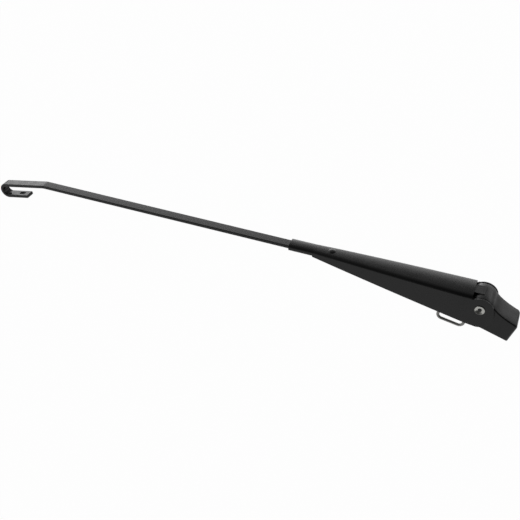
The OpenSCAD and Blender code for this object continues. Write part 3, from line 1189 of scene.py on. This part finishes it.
@dataclass
class HingeGear(SubAssembly):
    """Hinge pin, rivet, link wire and spring.

    Radii are pin, pin_head, post, wire, spring_wire, coil, hook, anchor_eye and spring_eye. dish is
    its cone's reach inwards and its depth, rivet_dome its radius and height, and span the link's reach
    along the spring's line.
    """

    pin: float = 3.2
    pin_head: float = 4.0
    pin_sunk: float = 0.42
    pin_proud: float = 0.35
    dish_lip: float = 0.12
    dish: Flat = (2.9, 1.05)
    ear_out: float = EAR_HALF
    rivet_at: float = 126.5
    rivet_proud: float = 0.7
    rivet_dome: Flat = (3.2, 1.2)
    touch: float = 0.03
    rod_low: float = ROD_TOP - ROD_THICK
    web_top: float = WEB_TOP
    post: float = 1.9
    post_length: float = 3.4
    flange: float = 1.0
    flange_edge: float = 0.2
    wire: float = 1.25
    spring_wire: float = 0.9
    coil: float = 3.6
    hook: float = 3.3
    anchor: Flat = ARM.leaned(ANCHOR)
    anchor_eye: float = 3.05
    span: float = 30.0
    spring_eye: float = 3.4
    loop_heel: Flat = (11.4, -30.7)
    loop_toe: Flat = (32.6, -26.9)
    loop_bend: float = 4.0
    play: float = 2.25
    hook_inset: float = 0.4
    neck: float = 6.4
    lead: float = 4.0
    wound_gap: float = 0.1
    front_room: float = 8.0
    rear_room: float = 12.0

    def line(self) -> tuple[Vector, Vector, float]:
        """The spring's line.

        Returns:
            Its start at the link's anchor, its direction, and its length to the post.
        """
        start = Vector((self.anchor[0], 0, self.anchor[1]))
        end = Vector((self.rivet_at - self.hook_inset, 0, self.rod_low - self.post_length / 2))
        return start, (end - start).normalized(), (end - start).length

    def hinge_pin(self) -> Piece:
        """The pin with its two riveted ends.

        Returns:
            The piece.
        """
        seat, rim, r = self.ear_out - self.pin_sunk, self.ear_out + self.pin_proud, self.pin_head
        (wide, deep), steps = self.dish, 6
        shares = [i / steps for i in range(steps + 1)]
        cone = [(r - self.dish_lip - wide * t, rim - deep * t) for t in shares]
        edge = [(r, rim - 0.08), (r - 0.04, rim - 0.02)]
        middle = [(0.6, rim - deep - 0.07), (0.1, rim - deep - 0.08)]
        end = [(r, seat), *edge, *cone, *middle]
        profile = [*[(q, -y) for q, y in reversed(end)], (self.pin, -seat), (self.pin, seat), *end]
        piece = turned(ARM, profile, Axis.ACROSS, 64, name="pin_turned")
        smooth(piece, 12)
        return piece

    def rivet(self) -> Piece:
        """The rivet's dome and the flanged post under the rod.

        Returns:
            The piece.
        """
        top, under = self.web_top + self.rivet_proud, self.rod_low - self.touch
        low, shank, inner = under - self.post_length, self.post - 0.3, 0.5
        wide, high = self.rivet_dome
        turns = [math.radians(a) for a in range(0, 90, 9)]
        base, rim, edge = low - self.flange, self.post + 1, self.flange_edge
        profile = [
            (inner, base), (rim - edge, base), (rim, base + edge), (rim, low),
            (self.post, low), (self.post, under), (shank, under), (shank, top),
            *[(wide * math.cos(a), top + high * math.sin(a)) for a in turns], (0.2, top + high),
        ]
        piece = turned(ARM, profile, Axis.UPRIGHT, 48, self.rivet_at, "rivet_and_post")
        smooth(piece, 40)
        return piece

    def rounded(self, before: Flat, corner: Flat, after: Flat, radius: float) -> list[Flat]:
        """The round stretch between two straight runs of wire.

        Args:
            before: a point on the first run.
            corner: where the runs would meet.
            after: a point on the second run.
            radius: the bend's radius.

        Returns:
            Points on the bend.
        """
        p, q, s = Vector(before), Vector(corner), Vector(after)
        a, b = (q - p).normalized(), (s - q).normalized()
        turn = math.acos(a.dot(b))
        side = 1 if a.x * b.y - a.y * b.x > 0 else -1
        start = q - a * (radius * math.tan(turn / 2))
        mid = start + Vector((-a.y, a.x)) * (side * radius)
        first = math.degrees(math.atan2(start.y - mid.y, start.x - mid.x))
        return arc((mid.x, mid.y), radius, first, first + side * math.degrees(turn), 14)

    def link(self) -> Piece:
        """The bent wire from the anchor pin to the spring's hook.

        Returns:
            The piece.
        """
        start, along, _ = self.line()
        eye = start + along * self.span
        heel, toe, bend = self.loop_heel, self.loop_toe, self.loop_bend
        root = (self.anchor[0] + self.anchor_eye, self.anchor[1])
        tip = (eye.x - self.spring_eye, eye.z)
        path = [
            *arc(self.anchor, self.anchor_eye, -76, -360, 32),
            *self.rounded(root, heel, toe, bend),
            *self.rounded(heel, toe, tip, bend),
            *arc((eye.x, eye.z), self.spring_eye, 180, -92, 32),
        ]
        piece = sweep(ARM, [Vector((x, 0, z)) for x, z in path], self.wire, 24, "link_bent_wire")
        smooth(piece, 60)
        return piece

    def spring(self) -> Piece:
        """The close-wound tension spring with its two hooks.

        Returns:
            The piece.
        """
        start, along, length = self.line()
        up = Vector((-along.z, 0, along.x))
        across = Vector((0, 1, 0))
        pitch = 2 * self.spring_wire + self.wound_gap
        rear = self.span + self.spring_eye - self.play + self.hook
        first = rear + self.neck
        turns = math.floor((length - self.neck - self.front_room - first) / pitch) - 0.5
        last = first + turns * pitch

        def at(x: float, y: float, z: float) -> Vector:
            """A point of the spring's own frame in the arm's frame."""
            return start + along * x + across * y + up * z

        def coil(x: float, angle: float) -> Vector:
            """A point on the coil's middle line."""
            a = math.radians(angle)
            return at(x, self.coil * math.cos(a), self.coil * math.sin(a))

        def hook(mid: float, begin: int, end: int) -> list[Vector]:
            """A hook's round part, lying across the arm.

            Args:
                mid: how far its centre is along the spring.
                begin: first angle in degrees.
                end: last angle in degrees.

            Returns:
                Points on its middle line.
            """
            step = 6 if end > begin else -6
            turned_by = [math.radians(a) for a in range(begin, end + step, step)]
            return [at(mid + self.hook * math.cos(a), self.hook * math.sin(a), 0) for a in turned_by]

        per_turn, ease = 24, 6
        wound = [i / per_turn for i in range(int(turns * per_turn) + 1)]
        path = hook(rear, -45, -270)
        path += [coil(first - self.lead * (1 - j / ease), 90 * (j / ease) ** 2) for j in range(ease)]
        path += [coil(first + pitch * t, 90 + 360 * t) for t in wound]
        path += [coil(last + self.lead * j / ease, -90 * (1 - j / ease) ** 2) for j in range(1, ease + 1)]
        path += hook(length, 90, -135)
        piece = sweep(ARM, path, self.spring_wire, 14, "spring_coil")
        smooth(piece, 60)
        return piece

    def stretch(self, spring: Piece) -> None:
        """Bakes the spring's placement into its mesh.

        Args:
            spring: the spring.
        """
        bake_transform(spring)

    def assemble(self) -> None:
        """Builds and dresses the rivet, the pin, the link and the spring, and the two carried pieces."""
        zinc, steel = ZINC_PLATE.material(), WIRE_STEEL.material()
        self.add(self.rivet(), "arm", Slot.PAINT, SHEET_PAINT.material(), "rod_rivet")
        self.add(self.hinge_pin(), "arm", Slot.ZINC, PIN_STEEL.material(), "hinge_pin")
        self.add(self.link(), "link", Slot.ZINC, zinc, "spring_link")
        spring = self.spring()
        self.stretch(spring)
        self.dress(spring, Slot.SPRING, steel, "tension_spring")
        self.carry("spindle_clip", steel)
        self.carry("link_pin", zinc)


@dataclass(frozen=True)
class Lamp:
    """A rectangular lamp that is turned to the arm's middle."""

    name: str
    place: Point
    wide: float
    tall: float
    watts: float


@dataclass
class Studio:
    """Camera, lights, floor and surroundings.

    The camera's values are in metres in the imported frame. levels give the surround's brightness, from
    0 at the side that the direction toward points away from to 1 at the side that it points to.
    """

    eye: Point = (0.126577, 0.500457, 0.404999)
    right: Point = (-0.88455919, -0.37761217, 0.27379571)
    up: Point = (0.45438987, -0.56513941, 0.68858354)
    back: Point = (-0.10528478, 0.7335029, 0.6714824)
    lens: float = 53.425
    sensor: float = 36.0
    toward: Point = (-0.429, 0.707, 0.56)
    levels: tuple[Flat, ...] = (
        (0.0, 4.6), (0.10, 4.3), (0.13, 3.4), (0.16, 2.1), (0.184, 1.65), (0.21, 1.3),
        (0.244, 1.2), (0.287, 0.95), (0.33, 0.5), (0.36, 0.36), (0.42, 0.31), (0.58, 0.27),
        (0.70, 0.25), (0.80, 0.15), (0.85, 0.07), (1.0, 0.04),
    )
    floor_gap: float = 1.0
    floor_reach: float = 3000.0
    floor_front: float = 380.0
    floor_grey: float = 0.86
    floor_glow: float = 0.98
    floor_in_gloss: float = 0.522
    lights: tuple[Lamp, ...] = (
        Lamp("lamp_behind", (0.15, -2.2, 0.75), 3.0, 0.8, 3.0),
        Lamp("lamp_head", (-0.5, -1.15, 0.8), 1.0, 0.45, 1.0),
        Lamp("lamp_left", (2.2, 0.3, 0.6), 1.2, 1.0, 6.0),
    )

    def camera(self) -> None:
        """Sets the camera at the photograph's place."""
        data = bpy.data.cameras.new("camera")
        data.lens, data.sensor_width = self.lens, self.sensor
        data.clip_start, data.clip_end = 0.01, 20.0
        camera = bpy.data.objects.new("camera", data)
        turn = Matrix((self.right, self.up, self.back)).transposed().to_4x4()
        camera.matrix_world = Matrix.Translation(self.eye) @ turn
        bpy.context.scene.collection.objects.link(camera)
        bpy.context.scene.camera = camera

    def world(self) -> None:
        """A soft surround: bright behind the arm and low down, dark over the camera."""
        world = bpy.data.worlds.new("surround")
        world.use_nodes = True
        bpy.context.scene.world = world
        tree = world.node_tree
        tree.nodes.clear()

        def node(kind: str) -> bpy.types.Node:
            """Adds a node to the world."""
            return tree.nodes.new("ShaderNode" + kind)

        direction = node("TexCoord").outputs["Generated"]
        lean = node("VectorMath")
        lean.operation = "DOT_PRODUCT"
        lean.inputs[1].default_value = self.toward
        tree.links.new(direction, lean.inputs[0])
        shift = node("MapRange")
        shift.inputs["From Min"].default_value = -1.0
        shift.inputs["From Max"].default_value = 1.0
        tree.links.new(lean.outputs["Value"], shift.inputs["Value"])
        ramp = node("ValToRGB")
        points = ramp.color_ramp.elements
        while len(points) < len(self.levels):
            points.new(0.5)
        for point, (at, level) in zip(points, self.levels):
            point.position = at
            point.color = (level, level, level, 1)
        tree.links.new(shift.outputs["Result"], ramp.inputs["Fac"])
        surround, white = node("Background"), node("Background")
        tree.links.new(ramp.outputs["Color"], surround.inputs["Color"])
        white.inputs["Color"].default_value = (1, 1, 1, 1)
        mix, out = node("MixShader"), node("OutputWorld")
        tree.links.new(node("LightPath").outputs["Is Camera Ray"], mix.inputs[0])
        tree.links.new(surround.outputs[0], mix.inputs[1])
        tree.links.new(white.outputs[0], mix.inputs[2])
        tree.links.new(mix.outputs[0], out.inputs[0])

    def floor(self) -> None:
        """A plain white floor just under the arm's lowest point."""
        z = CAD_BOX[0][2] / MM - self.floor_gap
        reach, front = self.floor_reach, self.floor_front
        skin = Skin(ROW)
        corners = [(-reach, -reach, z), (reach, -reach, z), (reach, front, z), (-reach, front, z)]
        skin.faces.append(skin.ring(corners))
        floor = skin.piece("floor")
        recipe = Recipe("floor_white")
        recipe.shader.inputs["Base Color"].default_value = (*[self.floor_grey] * 3, 1)
        recipe.shader.inputs["Roughness"].default_value = 0.9
        glow = recipe.node("Emission")
        glow.inputs["Color"].default_value = (1, 1, 1, 1)
        rays = recipe.node("LightPath").outputs
        mirrored = recipe.combine("MAXIMUM", rays["Is Glossy Ray"], rays["Is Transmission Ray"])
        weaker = recipe.combine("MULTIPLY", mirrored, self.floor_in_gloss)
        seen = recipe.combine("MAXIMUM", rays["Is Camera Ray"], weaker)
        mix = recipe.node("MixShader")
        out = next(n for n in recipe.tree.nodes if n.type == "OUTPUT_MATERIAL")
        recipe.wire(recipe.combine("MULTIPLY", seen, self.floor_glow), mix.inputs[0])
        recipe.wire(recipe.shader.outputs[0], mix.inputs[1])
        recipe.wire(glow.outputs[0], mix.inputs[2])
        recipe.wire(mix.outputs[0], out.inputs[0])
        floor.data.materials.append(recipe.material)

    def lamps(self) -> None:
        """A wide soft lamp and a small one behind the arm, and one to its left."""
        middle = (Vector(CAD_BOX[0]) + Vector(CAD_BOX[1])) / 2
        for each in self.lights:
            data = bpy.data.lights.new(each.name, "AREA")
            data.shape, data.size, data.size_y, data.energy = "RECTANGLE", each.wide, each.tall, each.watts
            lamp = bpy.data.objects.new(each.name, data)
            lamp.location = each.place
            lamp.rotation_mode = "QUATERNION"
            lamp.rotation_quaternion = (middle - Vector(each.place)).to_track_quat("-Z", "Y")
            bpy.context.scene.collection.objects.link(lamp)

    def build(self) -> None:
        """Sets up everything round the arm."""
        bpy.context.scene.view_settings.view_transform = "Standard"
        self.camera()
        self.world()
        self.floor()
        self.lamps()


def main() -> None:
    logging.basicConfig(level=logging.INFO, format="%(name)s: %(message)s")
    Studio().build()
    for part in (MountingHead(), ArmChannel(), BladeRod(), HingeGear()):
        part.assemble()


if __name__ == "__main__":
    main()
